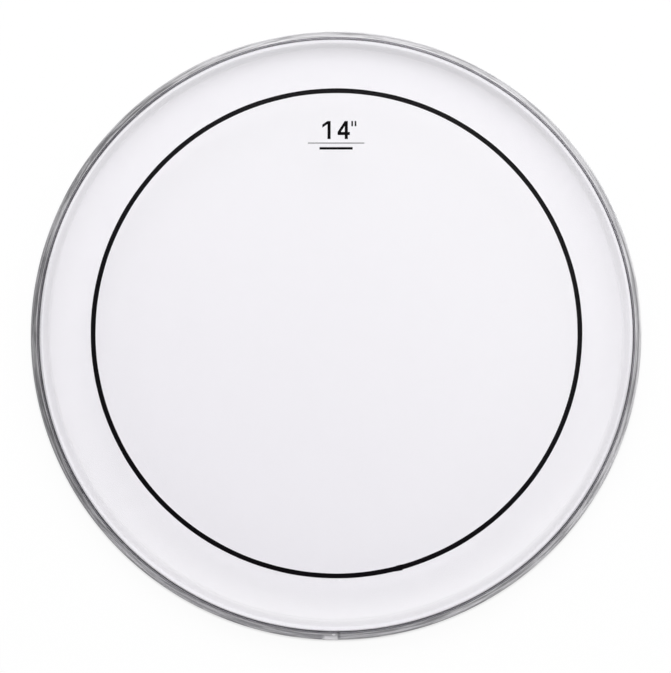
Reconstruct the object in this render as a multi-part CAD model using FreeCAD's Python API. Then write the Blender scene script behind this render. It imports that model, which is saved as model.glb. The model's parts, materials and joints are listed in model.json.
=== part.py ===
import FreeCAD, Part
import math
import os

from FreeCAD import Vector

# A clear two-ply drum head. The hoop stands on Z = 0 and its axis is the Z axis. The playing face looks up,
# the size print lies towards +Y, and the hoop's butt joint is at -Y. Angles are counted from +X towards +Y.

# Driving dimensions, in millimetres and degrees.

# Hoop: a U-channel bent to a ring, with its trough upwards and its two ends a little apart at the butt joint.
hoop_bore_diameter = 357.4
hoop_width = 5.2
hoop_height = 9.5
hoop_inner_wall = 0.8
hoop_outer_wall = 1.1
hoop_floor = 1.2
hoop_foot_edge_radius = 0.7
hoop_lip_edge_radius = 0.35
butt_gap = 3.4
butt_angle = -90.0

# Joint key: a short curved bar on the trough's floor, which bridges the butt gap and lines up the two ends.
key_length = 26.0
key_height = 1.2
key_side_clearance = 0.1

# Film: two plies of clear polyester with a thin damping layer between them, formed with one collar.
ply_thickness = 0.178
damping_thickness = 0.05
collar_height = 9.0
collar_slope_angle = 60.0
collar_shoulder_height = 0.4
collar_foot_radius = 2.0
collar_straight_share = 0.59

# Flange: the film's upright edge, which stands in the trough and is pierced for the resin to grip.
flange_wall_clearance = 0.3
flange_key_clearance = 0.4
lock_hole_diameter = 2.5
lock_hole_count = 72

# Resin: cast in the trough up to just under its lips, and through the butt gap.
resin_below_lip = 0.3
plug_set_back = 0.3
plug_stands_proud = 0.3

# Stripe: a printed line between the plies, with a lap where its ends cross. The damping layer fills the ring
# from the stripe to the start of the collar's bend.
damping_width = 24.65
stripe_width = 2.95
stripe_lap_length = 5.5
stripe_lap_proud = 0.5
stripe_lap_angle = -75.5

# Size print: the head's size in inches over two rules, on the playing face.
print_thickness = 0.03
print_stripe_distance = 17.3
digit_height = 11.0
digit_width = 7.4
digit_stroke = 1.9
digit_spacing = 1.8
inch_tick_height = 3.2
inch_tick_width = 1.0
long_rule_length = 34.0
long_rule_width = 0.5
short_rule_length = 20.0
short_rule_width = 1.5
rule_spacing = 2.2

# How far each cutting tool reaches past what it cuts.
cut_overrun = 1.0

# Shares of a digit's width and height that set the strokes of its two figures.
one_stem_share = 0.42
one_flag_drop_share = 0.2
four_stem_share = 0.58
four_bar_share = 0.22
four_counter_top_share = 0.72

# Sizes that follow from the driving dimensions.
bore_radius = hoop_bore_diameter / 2
hoop_radius = bore_radius + hoop_width
trough_inner_radius = bore_radius + hoop_inner_wall
trough_outer_radius = hoop_radius - hoop_outer_wall
stack_thickness = 2 * ply_thickness + damping_thickness
flange_radius = trough_inner_radius + flange_wall_clearance + stack_thickness
flange_end_height = hoop_floor + key_height + flange_key_clearance
resin_level = hoop_height - resin_below_lip
lock_hole_height = (flange_end_height + resin_level) / 2
face_height = hoop_height + collar_height
lower_ply_depth = ply_thickness + damping_thickness

# The collar's slope runs between two sharp corners. The foot bend and the straight stretch take their share
# of it, and the crown bend takes the rest.
slope = math.radians(collar_slope_angle)
slope_rise = collar_height - collar_shoulder_height
slope_length = slope_rise / math.sin(slope)
foot_bend_reach = collar_foot_radius * math.tan(math.pi / 4 - slope / 2)
crown_bend_reach = slope_length * (1 - collar_straight_share) - foot_bend_reach
crown_radius = crown_bend_reach / math.tan(slope / 2)
brow_radius = flange_radius - slope_rise / math.tan(slope)
flat_radius = brow_radius - crown_bend_reach
stripe_outer_radius = flat_radius - damping_width
stripe_inner_radius = stripe_outer_radius - stripe_width

origin = Vector(0, 0, 0)
up = Vector(0, 0, 1)


def section_point(radius, height):
    """A point of a radial section, which is drawn on the plane Y = 0."""
    return Vector(radius, 0, height)


def corner_arc(before, corner, after, radius):
    """The start, middle and end of the arc that rounds a corner between two straight runs."""
    back = (before - corner).normalize()
    ahead = (after - corner).normalize()
    half_angle = back.getAngle(ahead) / 2
    reach = radius / math.tan(half_angle)
    to_centre = (back + ahead).normalize()
    middle = corner + to_centre * (radius / math.sin(half_angle) - radius)
    return corner + back * reach, middle, corner + ahead * reach


def rounded_edges(corners, radii, closed):
    """Straight edges from corner to corner, with an arc at each corner whose radius isn't zero."""
    edges = []
    stops = []
    for index, corner in enumerate(corners):
        if radii[index] == 0:
            stops.append((corner, corner))
            continue
        after = corners[(index + 1) % len(corners)]
        start, middle, end = corner_arc(corners[index - 1], corner, after, radii[index])
        edges.append(Part.Arc(start, middle, end).toShape())
        stops.append((start, end))
    next_stops = stops[1:] + stops[:1] if closed else stops[1:]
    for here, there in zip(stops, next_stops):
        edges.append(Part.LineSegment(here[1], there[0]).toShape())
    return edges


def face_within(edges):
    """The flat face inside a loop of edges given in any order."""
    return Part.Face(Part.Wire(Part.sortEdges(edges)[0]))


def revolved(face, angle=360):
    """A face turned about the Z axis into a solid."""
    solid = face.revolve(origin, up, angle)
    if solid.Volume < 0:
        solid.reverse()
    return solid


def ring(inner_radius, outer_radius, low, high, angle=360):
    """A ring, or an arc of one that starts at +X, with a plain rectangular section."""
    corners = [
        section_point(inner_radius, low),
        section_point(outer_radius, low),
        section_point(outer_radius, high),
        section_point(inner_radius, high),
    ]
    return revolved(face_within(rounded_edges(corners, [0] * len(corners), True)), angle)


def arc_ring(inner_radius, outer_radius, low, high, length, middle_angle):
    """An arc of a ring of the given length along its outer edge, centred on an angle."""
    angle = math.degrees(length / outer_radius)
    arc = ring(inner_radius, outer_radius, low, high, angle)
    arc.rotate(origin, up, middle_angle - angle / 2)
    return arc


def gap_block(outer_radius, low, high):
    """A block across the hoop at the butt joint, as wide as the gap, from inside the bore to outer_radius."""
    start = bore_radius - cut_overrun
    block = Part.makeBox(outer_radius - start, butt_gap, high - low, Vector(start, -butt_gap / 2, low))
    block.rotate(origin, up, butt_angle)
    return block


def hoop_channel():
    """The U-channel ring, with its foot and lips rounded and a gap between its ends."""
    outline = [
        (bore_radius, 0, hoop_foot_edge_radius),
        (hoop_radius, 0, hoop_foot_edge_radius),
        (hoop_radius, hoop_height, hoop_lip_edge_radius),
        (trough_outer_radius, hoop_height, hoop_lip_edge_radius),
        (trough_outer_radius, hoop_floor, 0),
        (trough_inner_radius, hoop_floor, 0),
        (trough_inner_radius, hoop_height, hoop_lip_edge_radius),
        (bore_radius, hoop_height, hoop_lip_edge_radius),
    ]
    corners = [section_point(radius, height) for radius, height, rounding in outline]
    roundings = [rounding for radius, height, rounding in outline]
    channel = revolved(face_within(rounded_edges(corners, roundings, True)))
    return channel.cut(gap_block(hoop_radius + cut_overrun, -cut_overrun, hoop_height + cut_overrun))


def joint_key():
    """The bar that lies on the trough's floor across the butt gap."""
    return arc_ring(
        trough_inner_radius + key_side_clearance,
        trough_outer_radius - key_side_clearance,
        hoop_floor,
        hoop_floor + key_height,
        key_length,
        butt_angle,
    )


def film_edges(depth):
    """The film's section line at a depth under its upper surface, from the axis to the flange's end.

    Each sharp corner moves along the bisector of its two runs, and each bend keeps its centre.
    """
    shoulder = section_point(flange_radius, hoop_height + collar_shoulder_height)
    brow = section_point(brow_radius, face_height)
    inwards = section_point(-1, 0)
    downwards = section_point(0, -1)
    under_slope = section_point(-math.sin(slope), -math.cos(slope))
    corners = [
        section_point(0, face_height - depth),
        brow + (downwards + under_slope) * (depth / (1 + math.cos(slope))),
        shoulder + (inwards + under_slope) * (depth / (1 + math.sin(slope))),
        section_point(flange_radius - depth, flange_end_height),
    ]
    return rounded_edges(corners, [0, crown_radius - depth, collar_foot_radius - depth, 0], False)


def lock_hole_tools():
    """Radial cylinders through the flange, evenly spaced."""
    tools = []
    start_radius = flange_radius - stack_thickness - cut_overrun
    length = stack_thickness + 2 * cut_overrun
    for index in range(lock_hole_count):
        angle = 2 * math.pi * (index + 0.5) / lock_hole_count
        outwards = Vector(math.cos(angle), math.sin(angle), 0)
        start = outwards * start_radius + up * lock_hole_height
        tools.append(Part.makeCylinder(lock_hole_diameter / 2, length, start, outwards))
    return Part.makeCompound(tools)


def film_layer(top_depth, bottom_depth):
    """One layer of the pierced film, between two depths under the upper surface."""
    on_axis = [section_point(0, face_height - depth) for depth in (top_depth, bottom_depth)]
    at_end = [section_point(flange_radius - depth, flange_end_height) for depth in (top_depth, bottom_depth)]
    edges = film_edges(top_depth) + film_edges(bottom_depth)
    edges.append(Part.LineSegment(*on_axis).toShape())
    edges.append(Part.LineSegment(*at_end).toShape())
    return revolved(face_within(edges)).cut(lock_hole_tools())


def potting_resin():
    """The resin in the trough and the butt gap, cast round the film's flange and over the joint key."""
    fill = ring(trough_inner_radius, trough_outer_radius, hoop_floor, resin_level)
    plug = ring(bore_radius + plug_set_back, hoop_radius + plug_stands_proud, plug_set_back, resin_level)
    plug = plug.common(gap_block(hoop_radius + plug_stands_proud + cut_overrun, 0, hoop_height))
    cast = fill.fuse(plug).removeSplitter()
    return cast.cut(joint_key()).cut(film_layer(0, stack_thickness))


def stripe_ring():
    """The printed line between the plies, a little wider where its ends lap."""
    low = face_height - lower_ply_depth
    high = face_height - ply_thickness
    line = ring(stripe_inner_radius, stripe_outer_radius, low, high)
    lap = arc_ring(
        stripe_inner_radius,
        stripe_outer_radius + stripe_lap_proud,
        low,
        high,
        stripe_lap_length,
        stripe_lap_angle,
    )
    return line.fuse(lap).removeSplitter()


def damping_ring():
    """The damping layer between the plies, from the stripe out to where the collar starts to bend."""
    layer = ring(stripe_outer_radius, flat_radius, face_height - lower_ply_depth, face_height - ply_thickness)
    return layer.cut(stripe_ring())


def printed(points, holes=()):
    """A printed figure: an outline of points on the playing face, less its holes, as thick as the print."""
    figure = flat_figure(points)
    for hole in holes:
        figure = figure.cut(flat_figure(hole))
    return figure.extrude(up * print_thickness)


def flat_figure(points):
    """A flat face on the playing face, from the X and Y of its corners."""
    corners = [Vector(x, y, face_height) for x, y in points]
    return face_within(rounded_edges(corners, [0] * len(corners), True))


def bar(left, bottom, width, height):
    """The four corners of an upright bar."""
    return [(left, bottom), (left + width, bottom), (left + width, bottom + height), (left, bottom + height)]


def figure_one(left, bottom):
    """The figure 1: a stem with a flag that slants down to the left."""
    stem_left = left + one_stem_share * digit_width
    stem_right = stem_left + digit_stroke
    top = bottom + digit_height
    flag_low = top - one_flag_drop_share * digit_height - digit_stroke
    return printed([
        (stem_left, bottom),
        (stem_right, bottom),
        (stem_right, top),
        (stem_left, top),
        (left, flag_low + digit_stroke),
        (left, flag_low),
        (stem_left, top - digit_stroke),
    ])


def figure_four(left, bottom):
    """The figure 4: a stem, a cross bar and a slanted arm round a three-cornered counter."""
    stem_left = left + four_stem_share * digit_width
    stem_right = stem_left + digit_stroke
    top = bottom + digit_height
    bar_low = bottom + four_bar_share * digit_height
    bar_high = bar_low + digit_stroke
    right = left + digit_width
    counter_top = bottom + four_counter_top_share * digit_height
    arm_slope = (top - bar_high) / (stem_left - left)
    counter_left = stem_left - (counter_top - bar_high) / arm_slope
    outline = [
        (stem_left, bottom),
        (stem_right, bottom),
        (stem_right, bar_low),
        (right, bar_low),
        (right, bar_high),
        (stem_right, bar_high),
        (stem_right, top),
        (stem_left, top),
        (left, bar_high),
        (left, bar_low),
        (stem_left, bar_low),
    ]
    counter = [(counter_left, bar_high), (stem_left, bar_high), (stem_left, counter_top)]
    return printed(outline, [counter])


def size_print():
    """The size figures with their inch ticks, over a long thin rule and a short thick one."""
    digits_bottom = stripe_inner_radius - print_stripe_distance - digit_height
    digits_width = 2 * digit_width + digit_spacing
    left = -digits_width / 2
    marks = [
        figure_one(left, digits_bottom),
        figure_four(left + digit_width + digit_spacing, digits_bottom),
    ]
    tick_left = digits_width / 2 + digit_spacing / 2
    tick_bottom = digits_bottom + digit_height - inch_tick_height
    for step in range(2):
        tick = bar(tick_left + 2 * step * inch_tick_width, tick_bottom, inch_tick_width, inch_tick_height)
        marks.append(printed(tick))
    long_rule_bottom = digits_bottom - rule_spacing - long_rule_width
    short_rule_bottom = long_rule_bottom - rule_spacing - short_rule_width
    marks.append(printed(bar(-long_rule_length / 2, long_rule_bottom, long_rule_length, long_rule_width)))
    marks.append(printed(bar(-short_rule_length / 2, short_rule_bottom, short_rule_length, short_rule_width)))
    return Part.makeCompound(marks)


pieces = {
    "hoop_channel": hoop_channel(),
    "joint_key": joint_key(),
    "potting_resin": potting_resin(),
    "lower_ply": film_layer(lower_ply_depth, stack_thickness),
    "damping_ring": damping_ring(),
    "stripe_ring": stripe_ring(),
    "upper_ply": film_layer(0, ply_thickness),
    "size_print": size_print(),
}

os.makedirs("parts", exist_ok=True)
for name, shape in pieces.items():
    shape.exportStep(os.path.join("parts", name + ".step"))
    volume = sum(solid.Volume for solid in shape.Solids)
    print(f"{name}: {len(shape.Solids)} solids, valid {shape.isValid()}, {volume:.1f} mm3")
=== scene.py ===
import json
import math

import bmesh
import bpy
import numpy as np
from bpy.props import FloatProperty, FloatVectorProperty, PointerProperty
from bpy.types import Operator, Panel, PropertyGroup
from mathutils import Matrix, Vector


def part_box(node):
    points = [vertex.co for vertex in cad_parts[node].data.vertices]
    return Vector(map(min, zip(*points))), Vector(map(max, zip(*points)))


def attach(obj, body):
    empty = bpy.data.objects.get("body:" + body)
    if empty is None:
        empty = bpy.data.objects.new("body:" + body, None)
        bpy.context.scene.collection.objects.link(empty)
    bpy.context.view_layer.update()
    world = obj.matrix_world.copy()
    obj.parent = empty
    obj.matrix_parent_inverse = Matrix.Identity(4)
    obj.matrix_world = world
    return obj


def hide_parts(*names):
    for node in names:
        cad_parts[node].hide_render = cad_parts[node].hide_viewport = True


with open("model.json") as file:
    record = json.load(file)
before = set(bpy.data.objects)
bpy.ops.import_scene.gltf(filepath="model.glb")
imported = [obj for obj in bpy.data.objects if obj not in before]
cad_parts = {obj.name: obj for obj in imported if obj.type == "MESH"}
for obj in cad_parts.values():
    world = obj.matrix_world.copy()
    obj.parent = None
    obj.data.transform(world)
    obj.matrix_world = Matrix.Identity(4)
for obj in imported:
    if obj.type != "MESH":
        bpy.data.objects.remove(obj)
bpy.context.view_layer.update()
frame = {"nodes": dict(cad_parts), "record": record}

bl_info = {
    "name": "Clear Drum Head",
    "version": (1, 0, 0),
    "blender": (4, 5, 0),
    "location": "View3D > Sidebar > Drum Head",
    "description": "Builds the hoop, resin, film plies, damping layer, stripe and print of a clear drum head",
    "category": "Object",
}

# Everything is in metres. The hoop stands on Z = 0 round the Z axis, its butt joint is at -Y and the size
# print lies towards +Y. Angles are counted from +X towards +Y.

mm = 0.001
same_point = 1e-5 * mm
sharp_edge = math.radians(35)
round_steps = 720
plain_white = (1, 1, 1, 1)


def mount_radius(name):
    """The radius of one of the record's round mounts."""
    mounts = {mount["name"]: mount for mount in frame["record"]["mounts"]}
    return mounts[name]["dims"]["r_mm"] * mm


hoop_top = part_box("hoop_channel")[1]
film_low, film_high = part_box("upper_ply")
stripe_low, stripe_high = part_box("stripe_ring")
resin_low, resin_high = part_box("potting_resin")
damping_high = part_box("damping_ring")[1]


def length(name, description, default):
    """A length property, shown in the scene's own unit."""
    settings = {"min": 0, "precision": 5, "unit": "LENGTH", "subtype": "DISTANCE"}
    return FloatProperty(name=name, description=description, default=default, **settings)


def angle(name, description, degrees):
    """An angle property, given in degrees."""
    return FloatProperty(
        name=name, description=description, default=math.radians(degrees), unit="ROTATION", subtype="ANGLE"
    )


def share(name, description, default):
    """A share between nothing and all."""
    return FloatProperty(name=name, description=description, default=default, min=0, max=1, subtype="FACTOR")


def level(name, description, default, unit="NONE"):
    """A number that is no length, angle or share."""
    return FloatProperty(name=name, description=description, default=default, min=0, unit=unit)


def colour(name, description, default):
    """A linear colour."""
    return FloatVectorProperty(
        name=name, description=description, default=default, size=3, min=0, max=1, subtype="COLOR"
    )


class DrumHeadHoopSizes(PropertyGroup):
    """Sizes of the hoop's channel and the resin in it."""

    outer_radius: length("Outer radius", "From the axis to the outer wall", mount_radius("counterhoop_guide"))
    bore_radius: length("Bore radius", "From the axis to the inner wall", mount_radius("shell_bore"))
    height: length("Height", "From the foot to the lips", hoop_top.z)
    inner_wall: length("Inner wall", "Thickness of the wall towards the bore", 0.8 * mm)
    floor: length("Trough floor", "Thickness under the trough", 1.2 * mm)
    trough_outer_radius: length("Trough radius", "From the axis to the trough's outer side", resin_high.x)
    foot_edge: length("Foot edge", "Rounding of the foot's two edges", 0.7 * mm)
    lip_edge: length("Lip edge", "Rounding of the lips' edges", 0.35 * mm)
    butt_gap: length("Butt gap", "Between the channel's two ends", 3.4 * mm)
    butt_angle: angle("Butt angle", "Where the channel's ends meet", -90)
    resin_level: length("Resin level", "Height of the resin in the trough", resin_high.z)
    resin_climb: length("Resin climb", "How far the resin creeps up the film", 0.3 * mm)
    wall_climb: length("Wall climb", "How far the resin creeps up the walls", 0.28 * mm)
    plug_low: length("Plug foot", "Height of the resin plug's lower end", resin_low.z)
    plug_radius: length("Plug radius", "From the axis to the plug's outer face", -resin_low.y)
    plug_set_back: length("Plug set-back", "How far the plug stays behind the bore", 0.1 * mm)
    smear_length: length("Smear", "Length of the resin smeared beside the gap", 7.0 * mm)
    smear_width: length("Smear width", "How far in the smear reaches", 3.0 * mm)
    smear_drop: length("Smear drop", "How far down the outer wall the smear runs", 4.0 * mm)
    smear_sink: length("Smear sink", "How far its edges lie in the metal", 0.02 * mm)
    # A painted highlight in the gap: its size and its place.
    bead_highlight: length("Bead", "Size of the bead of resin outside the film in the gap", 1.3 * mm)
    highlight_place: length("Bead place", "From the gap's middle to the bead", 1.4 * mm)
    # The crevice's dark is a painted shadow.
    crevice: length("Crevice", "Width of the dark crevice at the gap's other side", 1.4 * mm)
    smear_fade: length("Smear fade", "Length over which its far end thins out", 3.0 * mm)
    # The lip's stain and painted shade run this far down the bore.
    bore_stain_and_shade: length("Bore stain", "How far down the bore the lip's stain runs", 0.6 * mm)
    # By the film the resin is paler: a painted highlight.
    meniscus_highlight: length("Meniscus", "How far from the film the resin is thin and pale", 0.9 * mm)
    # The streak by the outer wall is painted shade.
    trough_shade: length("Trough stain", "Width of the dull streak by the outer wall", 1.6 * mm)


class DrumHeadFilmSizes(PropertyGroup):
    """Sizes of the two plies and of what lies between them."""

    flange_radius: length("Flange radius", "From the axis to the upright flange's outer face", film_high.x)
    flange_end: length("Flange end", "Height of the flange's lower edge", film_low.z)
    face_height: length("Face height", "Height of the playing face", film_high.z)
    flat_radius: length("Flat radius", "Where the collar starts to bend down", damping_high.y)
    ply: length("Ply", "Thickness of one ply", film_high.z - stripe_high.z)
    damping: length("Damping layer", "Thickness between the plies", stripe_high.z - stripe_low.z)
    slope: angle("Collar slope", "Angle of the collar's slope from level", 60)
    shoulder: length("Shoulder", "Height over the hoop where the slope starts", 0.4 * mm)
    foot_radius: length("Foot radius", "Radius of the bend from flange to slope", 2.0 * mm)
    ripple: length("Collar ripple", "How far the formed collar waves in and out", 0.05 * mm)
    air: length("Air", "Hair-thin space left between touching layers", 0.003 * mm)
    stripe_radius: length("Stripe radius", "From the axis to the stripe's outer edge", stripe_high.y)
    stripe_width: length("Stripe width", "Width of the printed line", 2.95 * mm)
    stripe_wander: length("Stripe wander", "How far the stripe's edges stray", 0.05 * mm)
    stripe_offset: length("Stripe offset", "How far the stripe's middle lies off the axis", 0.33 * mm)
    offset_angle: angle("Offset angle", "Where the stripe's middle lies, seen from the axis", -42)
    lap_length: length("Lap length", "Length over which the stripe's ends cross", 5.5 * mm)
    lap_proud: length("Lap step", "How far the crossing ends stand out", 0.5 * mm)
    lap_angle: angle("Lap angle", "Where the stripe's ends cross", -75.5)


class DrumHeadMarks(PropertyGroup):
    """Sizes of the marks in the finishes."""

    streak_pitch: length("Streak pitch", "From one drawn streak to the next", 1.0 * mm)
    streak_turns: level("Streak turns", "How often a streak changes on its way round", 7)
    streak_depth: length("Streak depth", "How deep the streaks look", 0.02 * mm)
    blotch: length("Blotch", "Size of the clouds in the tarnish", 18 * mm)
    cloud: length("Cloud", "Size of the clouds in the resin", 6 * mm)
    milk_cloud: length("Milk cloud", "Size of the clouds in the damping layer", 36 * mm)
    bubble: length("Bubble", "From one bubble in the resin to the next", 1.1 * mm)
    tooth: length("Tooth", "Size of the teeth along a ragged edge", 1.4 * mm)
    smudge: length("Smudge", "Size of the smudges on the film", 110 * mm)
    smudge_depth: length("Smudge depth", "How far the film seems to bend at a smudge", 0.25 * mm)
    ink_grain: length("Ink grain", "Size of the thin spots in the ink", 0.55 * mm)
    ink_patch: length("Ink patch", "Size of the duller patches in the ink", 4.2 * mm)
    ink_depth: length("Ink depth", "How far the ink's grain seems to stand out", 0.008 * mm)


class DrumHeadColours(PropertyGroup):
    """Colours of the finishes."""

    aluminium: colour("Aluminium", "Clean mill-finished metal", (0.90, 0.90, 0.91))
    # The dark tone of tarnish, which also serves as painted shade on the lips' far side.
    tarnish_and_shade: colour("Tarnish", "Dull streaks along the metal", (0.30, 0.297, 0.308))
    wall_pale: colour("Wall", "The walls' skin in its pale streaks", (0.50, 0.50, 0.51))
    wall_dull: colour("Dull wall", "The walls' skin in its dull streaks", (0.24, 0.238, 0.246))
    # The bore's bright tone is a painted highlight.
    bore: colour("Bore", "The bore's wall where it is buffed", (0.98, 0.98, 0.985))
    # The stained inner lip's tone, which also paints shade there, in the crevice and on the plug's inner end.
    inner_stain_and_shade: colour("Inner stain", "The stained inner lip", (0.05, 0.05, 0.054))
    resin: colour("Resin", "Cast resin in the trough", (0.30, 0.297, 0.308))
    # Painted shade on the resin, by the outer wall and on the shaded arc.
    resin_shaded: colour("Dull resin", "Resin on the tarnished stretch", (0.12, 0.118, 0.124))
    resin_pale: colour("Pale resin", "Resin in its pale streaks and bubbles", (0.66, 0.655, 0.67))
    # A painted highlight in the gap.
    bead_highlight: colour("Bead", "The bright bead of resin in the gap", (0.90, 0.895, 0.90))
    smear: colour("Smear", "Resin smeared at the butt joint", (0.68, 0.675, 0.685))
    film: colour("Film", "What one ply lets through", (0.995, 0.992, 0.9995))
    gloss: colour("Film gloss", "Tint of the film's reflections", (0.98, 0.975, 1.0))
    haze: colour("Damping haze", "Milky tone of the damping layer", (0.93, 0.93, 0.95))
    ink: colour("Ink", "Dense black print", (0.0022, 0.0015, 0.0026))
    ink_worn: colour("Thin ink", "Ink where it is thin", (0.007, 0.006, 0.008))
    paper: colour("Floor", "The studio floor", (0.92, 0.92, 0.92))


class DrumHeadStage(PropertyGroup):
    """The camera, the light and the floor."""

    elevation: angle("Elevation", "How high the camera stands", 85.5)
    distance: length("Distance", "From the aim to the camera", 1.22)
    view_width: length("View width", "Width of the picture at the aim", 0.4041)
    aim: FloatVectorProperty(
        name="Aim", description="Where the camera looks", default=(-0.00035, -0.0028), size=2, unit="LENGTH"
    )
    key_power: level("Key power", "Power of the large soft lamp", 16.5, "POWER")
    key_size: length("Key size", "Width of the large soft lamp", 1.3)
    key_place: FloatVectorProperty(
        name="Key place", description="Where the soft lamp hangs", default=(0.1, 1.2, 1.4), unit="LENGTH"
    )
    sky_zenith: level("Zenith", "Light from straight above", 0.2)
    zenith_mirrored: level("Zenith mirrored", "Light from above in a mirror, at its brightest", 0.36)
    sky_dim: level("Dim side", "Light from the side away from the window", 0.45)
    sky_bright: level("Bright side", "Light from the window's side", 0.9)
    sky_window: level("Window", "Light added by the window itself", 2.0)
    # The glow shares paint light and shade into the floor: the slope and the lit band are painted light, and
    # less glow by the hoop paints shade.
    glow_inside: share("Glow inside", "White in the floor under the film", 0.59)
    glow_slope: share("Glow slope", "White added towards the bright side", 0.4)
    glow_by_hoop: share("Glow by the hoop", "White in the floor just inside the hoop", 0.51)
    glow_lit: share("Glow lit", "White added there on the lit side", 0.46)
    glow_outside: share("Glow outside", "White in the floor round the hoop", 0.95)
    glow_mirrored: share("Glow mirrored", "White in the floor seen in a mirror", 0.95)
    shade_width: length("Shade width", "How far in from the bore the floor is shaded", 20 * mm)
    contact_width: length("Contact width", "How far out from the hoop it is shaded", 2.5 * mm)
    floor_half: length("Floor", "From the middle of the floor to its edge", 4.0)
    floor_drop: length("Floor drop", "Hair-thin space under the hoop's foot", 0.02 * mm)


# Meshes


def quad_corners(rows, columns, rows_closed, columns_closed):
    """The corner numbers of a grid's quads: (i, j), (i+1, j), (i+1, j+1), (i, j+1), wrapped where closed."""
    i = np.arange(rows if rows_closed else rows - 1)[:, None]
    j = np.arange(columns if columns_closed else columns - 1)[None, :]
    next_i = (i + 1) % rows
    next_j = (j + 1) % columns
    corners = [i * columns + j, next_i * columns + j, next_i * columns + next_j, i * columns + next_j]
    return np.stack(corners, axis=-1).reshape(-1, 4)


def grid_piece(name, points, rows_closed, columns_closed):
    """An object from a grid of points, with rows along the path and columns along the section.

    The outside is on the side of (row step) x (column step). A closed section on an open path gets a flat
    face at each end. Points that fall together, as on the axis, become one.
    """
    rows, columns, _ = points.shape
    faces = quad_corners(rows, columns, rows_closed, columns_closed).tolist()
    if columns_closed and not rows_closed:
        first = np.arange(columns)
        faces.append(first.tolist())
        faces.append((first[::-1] + (rows - 1) * columns).tolist())
    mesh = bpy.data.meshes.new(name)
    mesh.from_pydata(points.reshape(-1, 3), [], faces)
    merge_doubles(mesh)
    mesh.shade_smooth()
    mesh.set_sharp_from_angle(angle=sharp_edge)
    piece = bpy.data.objects.new(name, mesh)
    bpy.context.scene.collection.objects.link(piece)
    return piece


def merge_doubles(mesh):
    """Joins the points of a mesh that lie within a hundredth of a micrometre."""
    work = bmesh.new()
    work.from_mesh(mesh)
    bmesh.ops.remove_doubles(work, verts=work.verts, dist=same_point)
    work.to_mesh(mesh)
    work.free()


def fit(piece, material, slot, *nodes):
    """Gives a piece its finish, and sets it in the place of its solids on the one body."""
    piece.data.materials.append(material)
    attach(piece, "root")
    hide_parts(*nodes)


def refinish(node, material):
    """Gives a solid another finish, and leaves its shape as it is."""
    solid = frame["nodes"][node]
    solid.data.materials.clear()
    solid.data.materials.append(material)


def turned(radius, height, angles):
    """Points of a section carried round the axis: (radius cos angle, radius sin angle, height)."""
    radius, height, angles = np.broadcast_arrays(radius, height, angles)
    return np.stack([radius * np.cos(angles), radius * np.sin(angles), height], axis=-1)


def rounded_loop(outline, steps=6):
    """Points round a closed outline of (radius, height, rounding) corners, anticlockwise.

    Each rounding is an arc whose centre lies on the corner's bisector, rounding / sin(half angle) away.
    """
    corners = np.array([corner[:2] for corner in outline])
    before = np.roll(corners, 1, axis=0) - corners
    after = np.roll(corners, -1, axis=0) - corners
    before /= np.linalg.norm(before, axis=1, keepdims=True)
    after /= np.linalg.norm(after, axis=1, keepdims=True)
    runs = []
    for corner, back, ahead, rounding in zip(corners, before, after, [row[2] for row in outline]):
        if rounding == 0:
            runs.append(corner[None, :])
            continue
        half = math.acos(np.clip(back @ ahead, -1, 1)) / 2
        centre = corner + (back + ahead) / np.linalg.norm(back + ahead) * rounding / math.sin(half)
        start = corner + back * rounding / math.tan(half) - centre
        end = corner + ahead * rounding / math.tan(half) - centre
        turn = np.linspace(0, 1, steps)[:, None]
        sweep = math.pi - 2 * half
        arc = np.sin((1 - turn) * sweep) * start + np.sin(turn * sweep) * end
        runs.append(centre + arc / math.sin(sweep))
    return np.concatenate(runs)


def trough_inner_radius(hoop):
    """From the axis to the trough's inner side."""
    return hoop.bore_radius + hoop.inner_wall


def gap_angle(hoop, radius, side):
    """The angle at a radius of the flat plane through the gap, from side -1 to 1 across it."""
    return hoop.butt_angle + np.arcsin(side * hoop.butt_gap / 2 / radius)


def open_ring(hoop, section, rows):
    """A section carried round from one side of the butt gap to the other.

    The angle runs evenly from the gap's right side to its left side, which are flat, so at each radius it
    starts and ends where that radius meets the gap.
    """
    radius, height = section.T
    start = gap_angle(hoop, radius, 1)
    end = gap_angle(hoop, radius, -1) + 2 * math.pi
    along = np.linspace(0, 1, rows)[:, None]
    return turned(radius, height, start + along * (end - start))


def hoop_section(hoop):
    """The U-channel's outline, anticlockwise from the foot's inner edge."""
    trough_inner = trough_inner_radius(hoop)
    return rounded_loop([
        (hoop.bore_radius, 0, hoop.foot_edge),
        (hoop.outer_radius, 0, hoop.foot_edge),
        (hoop.outer_radius, hoop.height, hoop.lip_edge),
        (hoop.trough_outer_radius, hoop.height, hoop.lip_edge),
        (hoop.trough_outer_radius, hoop.floor, 0),
        (trough_inner, hoop.floor, 0),
        (trough_inner, hoop.height, hoop.lip_edge),
        (hoop.bore_radius, hoop.height, hoop.lip_edge),
    ])


def resin_section(hoop, film, inner, outer, low):
    """The resin's outline round the flange, anticlockwise from its outer foot.

    With u from a wall to the film, its top is level + climb u^2 + wall climb (1 - u)^4.
    """
    flange_outer = film.flange_radius + film.air
    flange_inner = film.flange_radius - 2 * film.ply - film.damping - film.air
    top_steps = 9
    across = np.linspace(0, 1, top_steps)
    rise = hoop.resin_level + hoop.resin_climb * across ** 2 + hoop.wall_climb * (1 - across) ** 4
    outer_top = np.stack([outer + across * (flange_outer - outer), rise], axis=1)
    inner_top = np.stack([flange_inner + across * (inner - flange_inner), rise[::-1]], axis=1)
    slot_end = film.flange_end - film.air
    slot = [(flange_outer, slot_end), (flange_inner, slot_end)]
    return np.concatenate([[(outer, low)], outer_top, slot, inner_top, [(inner, low)]])


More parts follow.
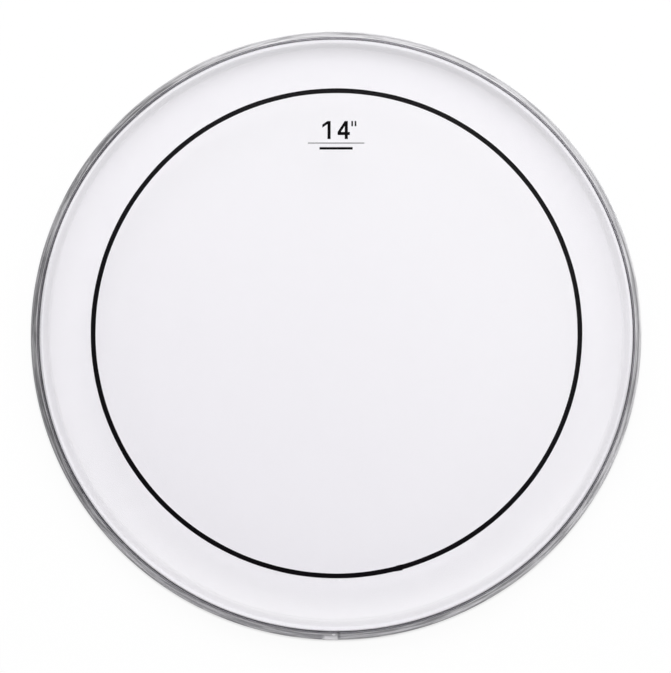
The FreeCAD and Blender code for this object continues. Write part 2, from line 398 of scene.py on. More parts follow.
def resin_grid(hoop, film):
    """The resin in the trough, all round, and the plug in the gap, which bulges as 1 - v^2 across it.

    In the trough it laps over the outer lip's rounded edge.
    """
    plug_steps = 9
    lapped = hoop.trough_outer_radius + hoop.lip_edge
    plug_inner = hoop.bore_radius + hoop.plug_set_back
    trough = resin_section(hoop, film, trough_inner_radius(hoop), lapped, hoop.floor)
    rows = [open_ring(hoop, trough, round_steps // 2 + 1)]
    for side in np.linspace(-1, 1, plug_steps):
        bulge = (hoop.plug_radius - hoop.outer_radius) * (1 - side ** 2)
        plug = resin_section(hoop, film, plug_inner, hoop.outer_radius + bulge, hoop.plug_low)
        radius, height = plug.T
        rows.append(turned(radius, height, gap_angle(hoop, radius, side))[None, :])
    return np.concatenate(rows)


def outer_lip_line(hoop):
    """The outer lip's outline under the smear: up the wall, round the edge and in along the top.

    Its rows are the angle of the surface's normal from level, and the ways down and in from the edge.
    """
    wall_steps = 12
    edge_steps = 7
    top_steps = 5
    top = hoop.outer_radius - hoop.trough_outer_radius - 2 * hoop.lip_edge
    turn = np.linspace(0, math.pi / 2, edge_steps)
    normal = np.concatenate([np.zeros(wall_steps), turn, np.full(top_steps, math.pi / 2)])
    down = np.linspace(hoop.smear_drop, 0, wall_steps, endpoint=False)
    below = np.concatenate([down, np.zeros(edge_steps + top_steps)])
    inward = np.linspace(0, top, top_steps + 1)[1:]
    within = np.concatenate([np.zeros(wall_steps + edge_steps), inward])
    return np.stack([normal, below, within])


def smear_grid(hoop):
    """A pad of resin over the outer lip, from the gap's middle to the left: the lip's outline, moved out.

    With v from -1 to 1 along the pad and w from 0 to 1 along its section, it stands proud by
    (1 - v^2) sin(pi w)^(1/2), a little less by a wave, and its edges lie in the metal.
    """
    pad_steps = 49
    wave_share = 0.15
    waves_along = 9
    waves_across = 4
    line = outer_lip_line(hoop)
    start = gap_angle(hoop, hoop.outer_radius, -1) - hoop.smear_length / hoop.outer_radius
    angles = np.linspace(start, hoop.butt_angle, pad_steps)[:, None]
    v = np.linspace(-1, 1, pad_steps)[:, None]
    w = np.linspace(0, 1, line.shape[1])
    wave = 1 - wave_share + wave_share * np.sin(waves_along * v + waves_across * w)
    shape = (1 - v ** 2) * np.sqrt(np.clip(np.sin(math.pi * w), 0, 1)) * wave
    proud = hoop.plug_radius - hoop.outer_radius
    over = -hoop.smear_sink + (proud + hoop.smear_sink) * shape
    under = np.full(over.shape, -2 * hoop.smear_sink)
    move = np.concatenate([over, under], axis=1) + hoop.lip_edge
    normal, below, within = np.concatenate([line, line[:, ::-1]], axis=1)
    radius = hoop.outer_radius - hoop.lip_edge - within + move * np.cos(normal)
    height = hoop.height - hoop.lip_edge - below + move * np.sin(normal)
    return turned(radius, height, angles)


def film_line(hoop, film, depth):
    """The film's section at a depth under its upper face, from the flange's end to the axis.

    It returns radius, height and the angle of the surface's normal from level. A bend is its centre plus
    (bend radius - depth) times (cos, sin) of that angle, which goes from 0 on the flange to 90 on the face.
    """
    upright_steps = 6
    foot_steps = 13
    crown_steps = 25
    face_steps = 13
    lean = math.pi / 2 - film.slope
    shoulder = hoop.height + film.shoulder
    brow = film.flange_radius - (film.face_height - shoulder) / math.tan(film.slope)
    crown_radius = (brow - film.flat_radius) / math.tan(film.slope / 2)
    foot_centre = shoulder - film.foot_radius * math.tan(lean / 2)
    upright = np.linspace(film.flange_end, foot_centre, upright_steps)[:-1]
    foot_turn = np.linspace(0, lean, foot_steps)
    crown_turn = np.linspace(lean, math.pi / 2, crown_steps)
    face = np.linspace(film.flat_radius, 0, face_steps)[1:]
    foot_reach = film.foot_radius - depth
    crown_reach = crown_radius - depth
    radius = np.concatenate([
        np.full(upright.shape, film.flange_radius - depth),
        film.flange_radius - film.foot_radius + foot_reach * np.cos(foot_turn),
        film.flat_radius + crown_reach * np.cos(crown_turn),
        face,
    ])
    height = np.concatenate([
        upright,
        foot_centre + foot_reach * np.sin(foot_turn),
        film.face_height - crown_radius + crown_reach * np.sin(crown_turn),
        np.full(face.shape, film.face_height - depth),
    ])
    level_face = np.full(face.shape, math.pi / 2)
    normal = np.concatenate([np.zeros(upright.shape), foot_turn, crown_turn, level_face])
    return radius, height, normal


def ripple(angles):
    """A gentle wave round the axis, from -1 to 1: the mean of sin(turns angle + start) over three sines."""
    turns = (17, 29, 53)
    starts = (0, 1.3, 0.4)
    return sum(np.sin(turn * angles + start) for turn, start in zip(turns, starts)) / len(turns)


def film_grid(hoop, film, top_depth, bottom_depth):
    """One ply: the lower face from the axis out to the flange's end, then the upper face back to the axis.

    On the collar both faces move along their normal by ripple(angle) sin(2 normal), which is nothing on the
    flange and on the playing face.
    """
    under = [values[::-1] for values in film_line(hoop, film, bottom_depth)]
    over = film_line(hoop, film, top_depth)
    radius, height, normal = [np.concatenate(pair) for pair in zip(under, over)]
    angles = np.linspace(0, 2 * math.pi, round_steps, endpoint=False)[:, None]
    wave = film.ripple * ripple(angles) * np.sin(2 * normal)
    return turned(radius + wave * np.cos(normal), height + wave * np.sin(normal), angles)


def stripe_angles(film):
    """Angles round the stripe, even all round and close together at its lap."""
    even = np.linspace(-math.pi, math.pi, round_steps, endpoint=False)
    lap_steps = 97
    half = film.lap_length / film.stripe_radius
    return np.unique(np.concatenate([even, film.lap_angle + np.linspace(-half, half, lap_steps)]))


def stripe_edges(film, angles):
    """The stripe's inner and outer radius at each angle.

    Both edges wander by a few slow sines, and move off the axis by offset cos(angle - offset angle). Over
    the lap the outer edge steps out slowly and back at once, and the inner edge steps in at once and back
    slowly, as the two ends of the line cross.
    """
    outer_step_share = 0.06
    inner_step_share = 0.08
    inner_start_share = -0.12
    inner_fall_share = 0.8
    along = (angles - film.lap_angle) * film.stripe_radius / film.lap_length
    rise = np.clip(along + 0.5, 0, 1) * np.clip((0.5 - along) / outer_step_share, 0, 1)
    step_in = np.clip((along - inner_start_share) / inner_step_share, 0, 1)
    fall = np.clip(0.5 - along * inner_fall_share, 0, 1) * step_in
    wander = film.stripe_wander * ripple(angles)
    middle = film.stripe_radius + film.stripe_offset * np.cos(angles - film.offset_angle)
    outer = middle - film.stripe_wander + wander + film.lap_proud * rise
    inner = middle - film.stripe_width + wander[::-1] - film.lap_proud * fall
    return inner, outer


def flat_ring(inner, outer, low, high, angles):
    """A thin ring between two edges that may change with the angle, anticlockwise from its inner foot."""
    radius = np.stack([inner, outer, outer, inner], axis=1)
    height = np.array([low, low, high, high])
    return turned(radius, height, angles[:, None])


# Finishes


class Value:
    """A node's output in a shader. Arithmetic on values adds Math nodes, so 1 - mask works."""

    def __init__(self, paint, socket):
        self.paint = paint
        self.socket = socket

    def math(self, operation, *terms):
        """A Math node on these terms."""
        return self.paint.node("Math", {"operation": operation}, dict(enumerate(terms)))

    def __add__(self, other):
        return self.math("ADD", self, other)

    def __radd__(self, other):
        return self.math("ADD", other, self)

    def __sub__(self, other):
        return self.math("SUBTRACT", self, other)

    def __rsub__(self, other):
        return self.math("SUBTRACT", other, self)

    def __mul__(self, other):
        return self.math("MULTIPLY", self, other)

    def __rmul__(self, other):
        return self.math("MULTIPLY", other, self)

    def __truediv__(self, other):
        return self.math("DIVIDE", self, other)

    def __pow__(self, other):
        return self.math("POWER", self, other)

    def __abs__(self):
        return self.math("ABSOLUTE", self)

    def at_least(self, other):
        """The larger of this and the other."""
        return self.math("MAXIMUM", self, other)

    def between(self, low, high):
        """0 at low and under, 1 at high and over, smooth between. Low may be the larger."""
        if low > high:
            return 1 - self.between(high, low)
        settings = {"interpolation_type": "SMOOTHSTEP"}
        return self.paint.node("MapRange", settings, {"Value": self, "From Min": low, "From Max": high})


class Paint:
    """A node tree being painted: a material's, or the world's."""

    def __init__(self, owner, output="OutputMaterial"):
        owner.use_nodes = True
        self.owner = owner
        self.tree = owner.node_tree
        self.tree.nodes.clear()
        self.end = self.tree.nodes.new("ShaderNode" + output)

    def node(self, kind, settings=None, sockets=None, output=0):
        """Any node: its type, its settings, which are set first, and its sockets' values or links."""
        made = self.tree.nodes.new("ShaderNode" + kind)
        for name, value in (settings or {}).items():
            setattr(made, name, value)
        for name, value in (sockets or {}).items():
            if isinstance(value, Value):
                self.tree.links.new(value.socket, made.inputs[name])
            else:
                made.inputs[name].default_value = value
        return Value(self, made.outputs[output])

    def place(self):
        """The point on the object, in metres."""
        return self.node("TexCoord", output="Object")

    def level_length(self, vector):
        """The length of a vector seen from above."""
        flat = self.node("VectorMath", {"operation": "MULTIPLY"}, {0: vector, 1: (1, 1, 0)})
        return self.node("VectorMath", {"operation": "LENGTH"}, {0: flat}, "Value")

    def axis(self, letter):
        """The point's X, Y or Z."""
        return self.node("SeparateXYZ", None, {0: self.place()}, letter)

    def radius(self):
        """The point's distance from the axis."""
        return self.level_length(self.place())

    def towards(self, degrees, vector):
        """The cosine of the angle, seen from above, between the side at these degrees and a vector."""
        turn = math.radians(degrees)
        side = (math.cos(turn), math.sin(turn), 0)
        along = self.node("VectorMath", {"operation": "DOT_PRODUCT"}, {0: vector, 1: side}, "Value")
        return along / self.level_length(vector)

    def side(self, degrees):
        """The same cosine for the point on the object, seen from the axis."""
        return self.towards(degrees, self.place())

    def noise(self, vector, size, detail=2):
        """Cloudy noise from 0 to 1, with clouds of this size."""
        fine_share = 0.6
        sockets = {"Vector": vector, "Scale": 1 / size, "Detail": detail, "Roughness": fine_share}
        return self.node("TexNoise", None, sockets)

    def clouds(self, size, detail=3):
        """Cloudy noise on the object."""
        return self.noise(self.place(), size, detail)

    def blend(self, factor, first, second):
        """A colour between two, by a factor. The Mix node's sockets 6, 7 and 2 are its colours."""
        return self.node("Mix", {"data_type": "RGBA"}, {0: factor, 6: as_rgba(first), 7: as_rgba(second)}, 2)

    def coats(self, tone, *layers):
        """A tone with colours laid over it in turn, each by its mask."""
        for mask, colour_over in layers:
            tone = self.blend(mask, tone, colour_over)
        return tone

    def bump(self, height, depth):
        """A normal from a height of 0 to 1 that stands for that depth in metres."""
        return self.node("Bump", None, {"Height": height, "Distance": depth})

    def principled(self, sockets):
        """The standard surface shader."""
        return self.node("BsdfPrincipled", None, sockets)

    def mix(self, factor, first, second):
        """Two shaders by a factor."""
        return self.node("MixShader", None, {0: factor, 1: first, 2: second})

    def finish(self, shader):
        """Ends the tree in a shader and returns what it belongs to."""
        self.tree.links.new(shader.socket, self.end.inputs["Surface"])
        return self.owner


def as_rgba(value):
    """A colour with its fourth channel, or a value as it is."""
    return value if isinstance(value, Value) else (*value, 1)


def new_paint(name):
    """A fresh material under this name."""
    return Paint(bpy.data.materials.new(name))


def drawn_streaks(paint, marks):
    """Noise drawn out along the hoop: slow round the axis and quick across, from 0 to 1.

    It reads (x / r, y / r) times a few turns, so it closes on itself, and (r + z) / pitch, which changes
    across the lips and down the walls alike.
    """
    radius = paint.radius()
    round_x = paint.axis("X") / radius * marks.streak_turns
    round_y = paint.axis("Y") / radius * marks.streak_turns
    across = (radius + paint.axis("Z")) / marks.streak_pitch
    drawn_out = paint.node("CombineXYZ", None, {0: round_x, 1: round_y, 2: across})
    return paint.noise(drawn_out, size=1, detail=4)


def shaded_arc(paint, marks):
    """1 on a stretch of painted shade on the hoop near -X, with ragged ends, and 0 on the rest."""
    middle = 170
    ragged_share = 0.25
    end_shares = (0.5, 0.8)
    ragged = ragged_share * (paint.clouds(marks.blotch) - 0.5)
    return (paint.side(middle) + ragged).between(*end_shares)


def painted_shade_side(paint):
    """Painted shade: 0 on the hoop's side towards the light, up and to the right in the picture, rising to 1
    on the opposite side.
    """
    painted_light_side = 63
    return 0.5 - 0.5 * paint.side(painted_light_side)


def at_butt(paint, hoop):
    """0 on the half of the ring away from the butt joint, and on the other half rising to 1 at the joint."""
    return paint.axis("Y").between(0, -hoop.bore_radius)


def butt_smear(paint, hoop, marks):
    """1 on the resin smeared over the hoop's outer part at the butt joint, mostly to the left of the gap."""
    ragged = marks.tooth * (paint.clouds(marks.tooth, detail=2) - 0.5)
    sideways = paint.axis("X") + ragged
    outward = paint.radius() + ragged
    side = hoop.butt_gap / 2
    start = -side - hoop.smear_length
    reach = hoop.outer_radius - hoop.smear_width
    along = sideways.between(start, start + hoop.smear_fade) * sideways.between(side, side - marks.tooth)
    return along * outward.between(reach, reach + marks.tooth) * at_butt(paint, hoop)


def butt_highlight(paint, hoop, film):
    """1 on a painted highlight, small and long, against the film in the gap."""
    slender_share = 0.45
    sideways = slender_share * (paint.axis("X") + hoop.highlight_place)
    outward = paint.radius() - film.flange_radius - hoop.bead_highlight / 2
    distance = (sideways ** 2 + outward ** 2) ** 0.5
    return distance.between(hoop.bead_highlight / 2, hoop.bead_highlight / 4) * at_butt(paint, hoop)


def butt_crevice_shadow(paint, hoop):
    """A half in the painted shadow in the crevice on the inner part of the gap's right side, and 0 elsewhere.
    """
    depth_share = 0.5
    x = paint.axis("X")
    side = hoop.butt_gap / 2
    across = x.between(side - hoop.crevice, side) * x.between(side + hoop.crevice, side)
    outer = hoop.outer_radius
    inner = paint.radius().between(outer - hoop.lip_edge, outer - hoop.smear_width / 2)
    return depth_share * across * inner * at_butt(paint, hoop)


def tarnish_and_shade(paint, marks, streaks):
    """How dark the lips are: painted shade on the side away from the light and on the shaded arc, and tarnish
    in streaks and blotches.
    """
    shade_side_share = 0.9
    arc_share = 0.4
    streak_share = 0.2
    shade_streak_share = 0.4
    blotch_share = 0.15
    blotch_shares = (0.42, 0.7)
    shade_side = painted_shade_side(paint)
    blotches = paint.clouds(marks.blotch).between(*blotch_shares)
    streaked = (streak_share + shade_streak_share * shade_side) * (streaks - 0.5)
    # Painted shade from the far side and the arc; real tarnish from the streaks and blotches.
    return shade_side_share * shade_side + arc_share * shaded_arc(paint, marks) + streaked + blotch_share * blotches


def inner_lip(paint, hoop):
    """1 on the inner wall and its lip, and 0 outside them."""
    trough = trough_inner_radius(hoop)
    return paint.radius().between(trough + hoop.lip_edge, trough)


def stain_and_shade_height(paint, hoop):
    """1 at the inner lip's height, and 0 under the stain and painted shade that run down from it."""
    return paint.axis("Z").between(hoop.height - hoop.bore_stain_and_shade, hoop.height - hoop.lip_edge)


def plug_end_shade(paint, hoop):
    """1 on the plug's inner end, between the ends of the stained and shaded lip, where shade is painted, and
    0 elsewhere.
    """
    x = paint.axis("X")
    side = hoop.butt_gap / 2
    in_gap = x.between(-side - hoop.lip_edge, -side) * x.between(side + hoop.lip_edge, side)
    return in_gap * inner_lip(paint, hoop) * stain_and_shade_height(paint, hoop) * at_butt(paint, hoop)


def hoop_skin(paint, colours, hoop, marks, streaks):
    """The metal's tone: lips painted lighter towards the light and darker on the far side, with tarnish, and
    walls with a duller, streaked skin.
    """
    z = paint.axis("Z")
    lips = paint.blend(tarnish_and_shade(paint, marks, streaks), colours.aluminium, colours.tarnish_and_shade)
    walls = paint.blend(streaks, colours.wall_dull, colours.wall_pale)
    below_lip = z.between(hoop.height - hoop.lip_edge / 2, hoop.height - 2 * hoop.lip_edge)
    return paint.blend(below_lip, lips, walls)


def bore_tone_and_highlight(paint, colours):
    """The bore's tone, with a painted highlight on the side of the size print."""
    highlight_side = 80
    highlight_shares = (-0.15, 0.25)
    # Painted highlight on the bore's side towards the size print.
    highlighted = paint.side(highlight_side).between(*highlight_shares)
    return paint.blend(highlighted, colours.wall_pale, colours.bore)


def mill_aluminium(name, colours, hoop, marks):
    """Drawn aluminium with a dull oxide skin: streaked along the ring, with painted light and shade on the
    lips, a painted highlight on the bore, and a stained inner lip with painted shade.
    """
    paint = new_paint(name)
    noise = drawn_streaks(paint, marks)
    streak_shares = (0.4, 0.6)
    smear = butt_smear(paint, hoop, marks)
    inside = inner_lip(paint, hoop)
    # Stain and painted shade on the inner lip and the top of the bore.
    stained_and_shaded = inside * stain_and_shade_height(paint, hoop)
    polished = inside * (1 - stained_and_shaded)
    tone = paint.coats(
        hoop_skin(paint, colours, hoop, marks, noise.between(*streak_shares)),
        (smear, colours.smear),
        # Painted shadow in the crevice.
        (butt_crevice_shadow(paint, hoop), colours.inner_stain_and_shade),
        # Painted highlight on the bore.
        (polished, bore_tone_and_highlight(paint, colours)),
        # Stain and painted shade on the inner lip.
        (stained_and_shaded, colours.inner_stain_and_shade),
    )
    roughness = 0.4
    streak_roughness = 0.2
    polish = 0.15
    skin_metallic = 0.25
    bore_metallic = 0.9
    return paint.finish(paint.principled({
        "Base Color": tone,
        "Metallic": skin_metallic * (1 - inside) * (1 - smear) + bore_metallic * polished,
        "Roughness": roughness + streak_roughness * noise - polish * polished,
        "Normal": paint.bump(noise, marks.streak_depth),
    }))


def trough_resin(paint, colours, hoop, marks, streaks):
    """The tone of the resin along the trough: smeared in streaks, with bubbles, paler on the side towards the
    light as painted light, and darker by the outer wall as painted shade.

    By the wall that painted shade lies on the sides towards +X and -X, where the share (x / r)^2 is large,
    and on the shaded arc there is painted shade too, where its pale streaks stay paler.
    """
    radius = paint.radius()
    painted_light_share = 0.6
    bubble_share = 0.3
    bubble_shares = (0.16, 0.08)
    wall_shade_share = 0.6
    side_shares = (0.75, 0.97)
    arc_share = 0.93
    arc_streak_share = 0.5
    # Painted light: the resin is paler on the side towards the light.
    painted_light = painted_light_share * (0.5 - painted_shade_side(paint))
    bubbles = paint.node("TexVoronoi", None, {"Vector": paint.place(), "Scale": 1 / marks.bubble}, "Distance")
    wall = hoop.trough_outer_radius
    # Painted shade in the corner by the outer wall, on the sides towards +X and -X.
    by_wall = radius.between(wall - hoop.trough_shade, wall - hoop.trough_shade / 2)
    by_wall = by_wall * radius.between(wall, wall - hoop.trough_shade / 3)
    sides = ((paint.axis("X") / radius) ** 2).between(*side_shares)
    # Painted shade on the arc.
    arc_shade = shaded_arc(paint, marks) * (arc_share - arc_streak_share * streaks)
    return paint.coats(
        colours.resin,
        (streaks + painted_light, colours.resin_pale),
        (bubble_share * bubbles.between(*bubble_shares), colours.resin_pale),
        (wall_shade_share * by_wall * sides, colours.resin_shaded),
        (arc_shade, colours.resin_shaded),
    )


def cast_resin(colours, hoop, film, marks):
    """Resin: streaked in the trough, with a painted highlight where it creeps up the film, and pale where it
    is smeared at the butt joint.

    In the gap its inner end is painted dark as shade, like the stained and shaded lip on both sides of it.
    """
    paint = new_paint("cast_resin")
    radius = paint.radius()
    noise = drawn_streaks(paint, marks)
    streak_shares = (0.38, 0.62)
    meniscus_highlight_share = 0.5
    # A painted highlight on the resin close to the film.
    from_film = radius - (film.flange_radius - film.ply - film.damping / 2)
    meniscus_highlight = abs(from_film).between(hoop.meniscus_highlight, hoop.meniscus_highlight / 3)
    tone = paint.coats(
        trough_resin(paint, colours, hoop, marks, noise.between(*streak_shares)),
        (butt_smear(paint, hoop, marks), colours.smear),
        (meniscus_highlight_share * meniscus_highlight, colours.resin_pale),
        # Painted shadow in the crevice.
        (butt_crevice_shadow(paint, hoop), colours.inner_stain_and_shade),
        # Painted shade on the plug's inner end.
        (plug_end_shade(paint, hoop), colours.inner_stain_and_shade),
        # A painted highlight against the film in the gap.
        (butt_highlight(paint, hoop, film), colours.bead_highlight),
    )
    roughness = 0.3
    cloud_roughness = 0.2
    cloud = paint.clouds(marks.cloud)
    return paint.finish(paint.principled({
        "Base Color": tone,
        "Roughness": roughness + cloud_roughness * cloud,
        "Normal": paint.bump(noise, marks.streak_depth),
    }))


def clear_film(colours, film, marks):
    """Polyester film: tinted clear, with a mirror that grows as the view gets flatter, m + (1 - m) facing^5.

    Here m is the mirror seen head-on, and facing is 1 minus the cosine of the angle from which it is seen.
    Between the stripe and the collar the damping layer wets the plies, so they mirror less there. On the
    collar's crown the plies part, so they mirror more, and by the hoop the resin bonds them together.
    """
    paint = new_paint("clear_film")
    radius = paint.radius()
    head_on_share = 0.016
    wet_share = 0.25
    parted_share = 2.0
    bonded_share = 0.6
    flat = film.flat_radius
    bend = film.foot_radius
    facing = paint.node("LayerWeight", output="Facing")
    beyond_stripe = radius.between(film.stripe_radius - film.stripe_width, film.stripe_radius)
    wet = beyond_stripe * radius.between(flat + bend, flat)
    crown_end = radius.between(film.flange_radius - bend, film.flange_radius - 3 * bend)
    crown = crown_end * radius.between(flat - bend, flat + bend)
    plies = 1 - wet_share * wet + parted_share * crown - bonded_share * (1 - crown_end)
    mirror = (head_on_share + (1 - head_on_share) * facing ** 5) * plies
    roughness = 0.03
    smudge_roughness = 0.06
    smudges = paint.clouds(marks.smudge)
    through = paint.node("BsdfTransparent", None, {"Color": as_rgba(colours.film)})
    gloss = paint.principled({
        "Base Color": as_rgba(colours.gloss),
        "Metallic": 1.0,
        "Roughness": roughness + smudge_roughness * smudges,
        "Normal": paint.bump(smudges, marks.smudge_depth),
    })
    return paint.finish(paint.mix(mirror, through, gloss))


def damping_film(colours, marks):
    """The damping layer: clear, with a faint milky cloud."""
    paint = new_paint("damping_film")
    milk_share = 0.02
    cloud_share = 0.03
    roughness = 0.7
    cloud = paint.clouds(marks.milk_cloud)
    through = paint.node("BsdfTransparent")
    milk = paint.principled({"Base Color": as_rgba(colours.haze), "Roughness": roughness})
    return paint.finish(paint.mix(milk_share + cloud_share * cloud, through, milk))


def printed_ink(colours, marks):
    """Screen-printed black: dense, with thin spots in a fine grain and a dull sheen."""
    paint = new_paint("printed_ink")
    grain_share = 0.6
    grain_shares = (0.55, 0.75)
    patch_share = 0.4
    patch_shares = (0.5, 0.8)
    roughness = 0.45
    patch_roughness = 0.25
    sheen_level = 0.1
    grain = paint.clouds(marks.ink_grain, detail=2)
    patches = paint.clouds(marks.ink_patch)
    thin = grain_share * grain.between(*grain_shares) + patch_share * patches.between(*patch_shares)
    return paint.finish(paint.principled({
        "Base Color": paint.blend(thin, colours.ink, colours.ink_worn),
        "Roughness": roughness + patch_roughness * patches,
        "Specular IOR Level": sheen_level,
        "Normal": paint.bump(grain, marks.ink_depth),
    }))


# Stage


def ray_kind(paint, kind):
    """1 for rays of this kind, and 0 for the others."""
    return paint.node("LightPath", output=f"Is {kind} Ray")


def floor_glow(paint, hoop, stage):
    """The share of plain white in the floor as the camera sees it, which is less inside the hoop.

    In the middle it rises by slope x / bore, with x the distance towards the bright side: painted light. By
    the hoop that slope fades and the share falls, which lets the floor's shadow show and paints shade, and a
    band on the side that the window lights stays whiter as painted light.
    """
    bright_side = 62
    lit_side = -75
    radius = paint.radius()
    bore = hoop.bore_radius
    shade = stage.shade_width
    sloping = radius.between(bore - shade / 2, bore - 2 * shade) * radius / bore
    inside = stage.glow_inside + stage.glow_slope * sloping * paint.side(bright_side)
    # A band of painted light just inside the hoop, on the side that the window lights.
    painted_light_band = radius.between(bore - shade / 8, bore - shade / 4)
    lit = painted_light_band * paint.side(lit_side).between(0, 1)
    rim = stage.glow_by_hoop + stage.glow_lit * lit
    glow = inside + (rim - inside) * radius.between(bore - shade, bore)
    outside = radius.between(hoop.outer_radius, hoop.outer_radius + stage.contact_width)
    return glow + (stage.glow_outside - glow) * outside


def floor_paper(hoop, colours, stage):
    """White paper. Where the floor is seen, plain white is mixed in."""
    paint = new_paint("floor_paper")
    mirrored = ray_kind(paint, "Glossy").at_least(ray_kind(paint, "Transmission"))
    camera = ray_kind(paint, "Camera")
    seen = camera * floor_glow(paint, hoop, stage) + (1 - camera) * mirrored * stage.glow_mirrored
    paper = paint.node("BsdfDiffuse", None, {"Color": as_rgba(colours.paper)})
    white = paint.node("Emission", None, {"Color": plain_white})
    return paint.finish(paint.mix(seen, paper, white))


def make_floor(hoop, colours, stage):
    """A large square of paper a hair under the hoop's foot."""
    floor_steps = 9
    side = np.linspace(-stage.floor_half, stage.floor_half, floor_steps)
    x, y = np.meshgrid(side, side, indexing="ij")
    points = np.stack([x, y, np.full(x.shape, -stage.floor_drop)], axis=-1)
    floor = grid_piece("floor", points, False, False)
    floor.data.materials.append(floor_paper(hoop, colours, stage))


def sky_window(z, sideways):
    """1 in the soft-edged window, by a direction's height and its turn towards the window's side."""
    foot_shares = (0.3, 0.4)
    head_shares = (0.75, 0.65)
    edge_shares = (-0.2, 0.4)
    return z.between(*foot_shares) * z.between(*head_shares) * sideways.between(*edge_shares)


def make_sky(stage):
    """A plain studio sky: white to the camera, and for light and mirrors dark above and brighter to one side.

    With z the height of a direction and c its cosine to the window's side, the light is
    zenith z^2 + (1 - z^2) (dim + (bright - dim) ((1 + c) / 2)^2). A soft-edged window, which mirrors don't
    show, is added to it. In mirrors the zenith is dark on one side and brighter on the other.
    """
    world = bpy.data.worlds.new("studio")
    bpy.context.scene.world = world
    paint = Paint(world, "OutputWorld")
    direction = paint.node("TexCoord", output="Generated")
    z = paint.node("SeparateXYZ", None, {0: direction}, "Z")
    overhead = z.at_least(0) ** 2
    level_share = (1 - overhead) ** 0.5
    window_side = 78
    sideways = paint.towards(window_side, direction)
    cosine = sideways * level_share
    side = stage.sky_dim + (stage.sky_bright - stage.sky_dim) * (0.5 + 0.5 * cosine) ** 2
    glossy = ray_kind(paint, "Glossy")
    mirrored_side = 62
    mirrored_shares = (-0.06, 0.24)
    aside = paint.towards(mirrored_side, direction) * level_share
    mirrored = glossy * stage.zenith_mirrored * aside.between(*mirrored_shares)
    lit = (1 - glossy) * (stage.sky_zenith * overhead + stage.sky_window * sky_window(z, sideways))
    strength = lit + mirrored * overhead + side * (1 - overhead)
    camera = ray_kind(paint, "Camera")
    light = paint.node("Background", None, {"Color": plain_white, "Strength": strength})
    white = paint.node("Background", None, {"Color": plain_white})
    paint.finish(paint.mix(camera, light, white))


def make_key(stage):
    """One large soft lamp on the window's side."""
    lamp = bpy.data.lights.new("key", "AREA")
    lamp.shape = "DISK"
    lamp.size = stage.key_size
    lamp.energy = stage.key_power
    key = bpy.data.objects.new("key", lamp)
    key.location = stage.key_place
    key.visible_glossy = False
    key.rotation_mode = "QUATERNION"
    key.rotation_quaternion = (-key.location).to_track_quat("-Z", "Y")
    bpy.context.scene.collection.objects.link(key)


def make_camera(hoop, stage):
    """The camera above the head, leaning a little towards -Y, with its sensor on the picture's long side."""
    picture_width = 671
    picture_height = 673
    nearest = 0.01
    farthest = 50
    lens = bpy.data.cameras.new("camera")
    tall = stage.view_width * picture_height / picture_width
    lens.lens = lens.sensor_width * stage.distance / tall
    lens.clip_start = nearest
    lens.clip_end = farthest
    camera = bpy.data.objects.new("camera", lens)
    back = Vector((0, -math.cos(stage.elevation), math.sin(stage.elevation)))
    camera.location = Vector((*stage.aim, hoop.height)) + back * stage.distance
    camera.rotation_mode = "QUATERNION"
    camera.rotation_quaternion = (-back).to_track_quat("-Z", "Y")
    bpy.context.scene.collection.objects.link(camera)
    bpy.context.scene.camera = camera


# Operators


def groups(context):
    """The properties of the hoop, the film, the marks, the colours and the stage."""
    return [getattr(context.scene, name) for name in property_groups]


class DRUMHEAD_OT_hoop(Operator):
    """Bends the aluminium channel into the hoop and finishes the joint key inside it"""

    bl_idname = "drum_head.hoop"
    bl_label = "Hoop"

    def execute(self, context):
        hoop, _, marks, colours, _ = groups(context)
        channel = open_ring(hoop, hoop_section(hoop), round_steps + 1)
        piece = grid_piece("hoop", channel, False, True)
        fit(piece, mill_aluminium("hoop_aluminium", colours, hoop, marks), "hoop_aluminium", "hoop_channel")
        refinish("joint_key", mill_aluminium("key_aluminium", colours, hoop, marks))
        return {"FINISHED"}


class DRUMHEAD_OT_resin(Operator):
    """Casts the resin into the trough and the butt gap, and smears some over the lip"""

    bl_idname = "drum_head.resin"
    bl_label = "Resin"

    def execute(self, context):
        hoop, film, marks, colours, _ = groups(context)
        material = cast_resin(colours, hoop, film, marks)
        resin = grid_piece("resin", resin_grid(hoop, film), True, True)
        smear = grid_piece("resin_smear", smear_grid(hoop), False, True)
        for piece in (resin, smear):
            fit(piece, material, "clear_resin", "potting_resin")
        return {"FINISHED"}


class DRUMHEAD_OT_film(Operator):
    """Forms the two plies of clear film"""

    bl_idname = "drum_head.film"
    bl_label = "Film plies"

    def execute(self, context):
        hoop, film, marks, colours, _ = groups(context)
        material = clear_film(colours, film, marks)
        below = film.ply + film.damping
        for name, node, depth in (("film_upper", "upper_ply", 0), ("film_lower", "lower_ply", below)):
            grid = film_grid(hoop, film, depth + film.air, depth + film.ply - film.air)
            fit(grid_piece(name, grid, True, False), material, "clear_film", node)
        return {"FINISHED"}


class DRUMHEAD_OT_stripe(Operator):
    """Prints the stripe between the plies and lays the damping layer outside it"""

    bl_idname = "drum_head.stripe"
    bl_label = "Stripe and damping layer"

    def execute(self, context):
        _, film, marks, colours, _ = groups(context)
        angles = stripe_angles(film)
        inner, outer = stripe_edges(film, angles)
        high = film.face_height - film.ply
        low = high - film.damping
        stripe = grid_piece("stripe", flat_ring(inner, outer, low, high, angles), True, True)
        fit(stripe, printed_ink(colours, marks), "black_ink", "stripe_ring")
        rim = np.full(angles.shape, film.flat_radius)
        damping = grid_piece("damping_layer", flat_ring(outer + film.air, rim, low, high, angles), True, True)
        fit(damping, damping_film(colours, marks), "damping_layer", "damping_ring")
        return {"FINISHED"}


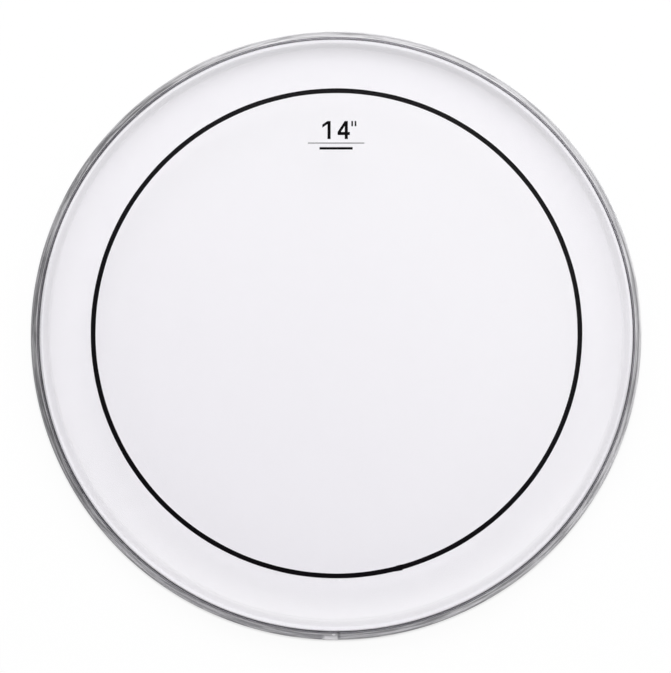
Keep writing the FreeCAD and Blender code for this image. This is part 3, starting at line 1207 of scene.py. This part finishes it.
class DRUMHEAD_OT_print(Operator):
    """Inks the size print on the playing face"""

    bl_idname = "drum_head.print"
    bl_label = "Size print"

    def execute(self, context):
        _, _, marks, colours, _ = groups(context)
        refinish("size_print", printed_ink(colours, marks))
        return {"FINISHED"}


class DRUMHEAD_OT_stage(Operator):
    """Sets the floor, the light and the camera"""

    bl_idname = "drum_head.stage"
    bl_label = "Stage"

    def execute(self, context):
        hoop, _, _, colours, stage = groups(context)
        film_faces_crossed = 32
        make_floor(hoop, colours, stage)
        make_sky(stage)
        make_key(stage)
        make_camera(hoop, stage)
        context.scene.view_settings.view_transform = "Standard"
        context.scene.cycles.transparent_max_bounces = film_faces_crossed
        return {"FINISHED"}


class DRUMHEAD_PT_panel(Panel):
    """Lists the drum head's pieces and its stage in the sidebar"""

    bl_label = "Drum Head"
    bl_idname = "DRUMHEAD_PT_panel"
    bl_space_type = "VIEW_3D"
    bl_region_type = "UI"
    bl_category = "Drum Head"

    def draw(self, context):
        for operator in operators:
            self.layout.operator(operator.bl_idname)
        for name in property_groups:
            box = self.layout.box()
            group = getattr(context.scene, name)
            for field in group.__annotations__:
                box.prop(group, field)


operators = (
    DRUMHEAD_OT_hoop,
    DRUMHEAD_OT_resin,
    DRUMHEAD_OT_film,
    DRUMHEAD_OT_stripe,
    DRUMHEAD_OT_print,
    DRUMHEAD_OT_stage,
)
property_groups = {
    "drum_head_hoop": DrumHeadHoopSizes,
    "drum_head_film": DrumHeadFilmSizes,
    "drum_head_marks": DrumHeadMarks,
    "drum_head_colours": DrumHeadColours,
    "drum_head_stage": DrumHeadStage,
}


def register():
    """Registers the classes and hangs the properties on the scene."""
    for group in (*property_groups.values(), *operators, DRUMHEAD_PT_panel):
        bpy.utils.register_class(group)
    for name, group in property_groups.items():
        setattr(bpy.types.Scene, name, PointerProperty(type=group))


def unregister():
    """Takes the properties off the scene and forgets the classes."""
    for name in property_groups:
        delattr(bpy.types.Scene, name)
    for group in reversed((*property_groups.values(), *operators, DRUMHEAD_PT_panel)):
        bpy.utils.unregister_class(group)


def main():
    """Builds everything in order."""
    register()
    bpy.ops.drum_head.hoop()
    bpy.ops.drum_head.resin()
    bpy.ops.drum_head.film()
    bpy.ops.drum_head.stripe()
    bpy.ops.drum_head.print()
    bpy.ops.drum_head.stage()


if __name__ == "__main__":
    main()
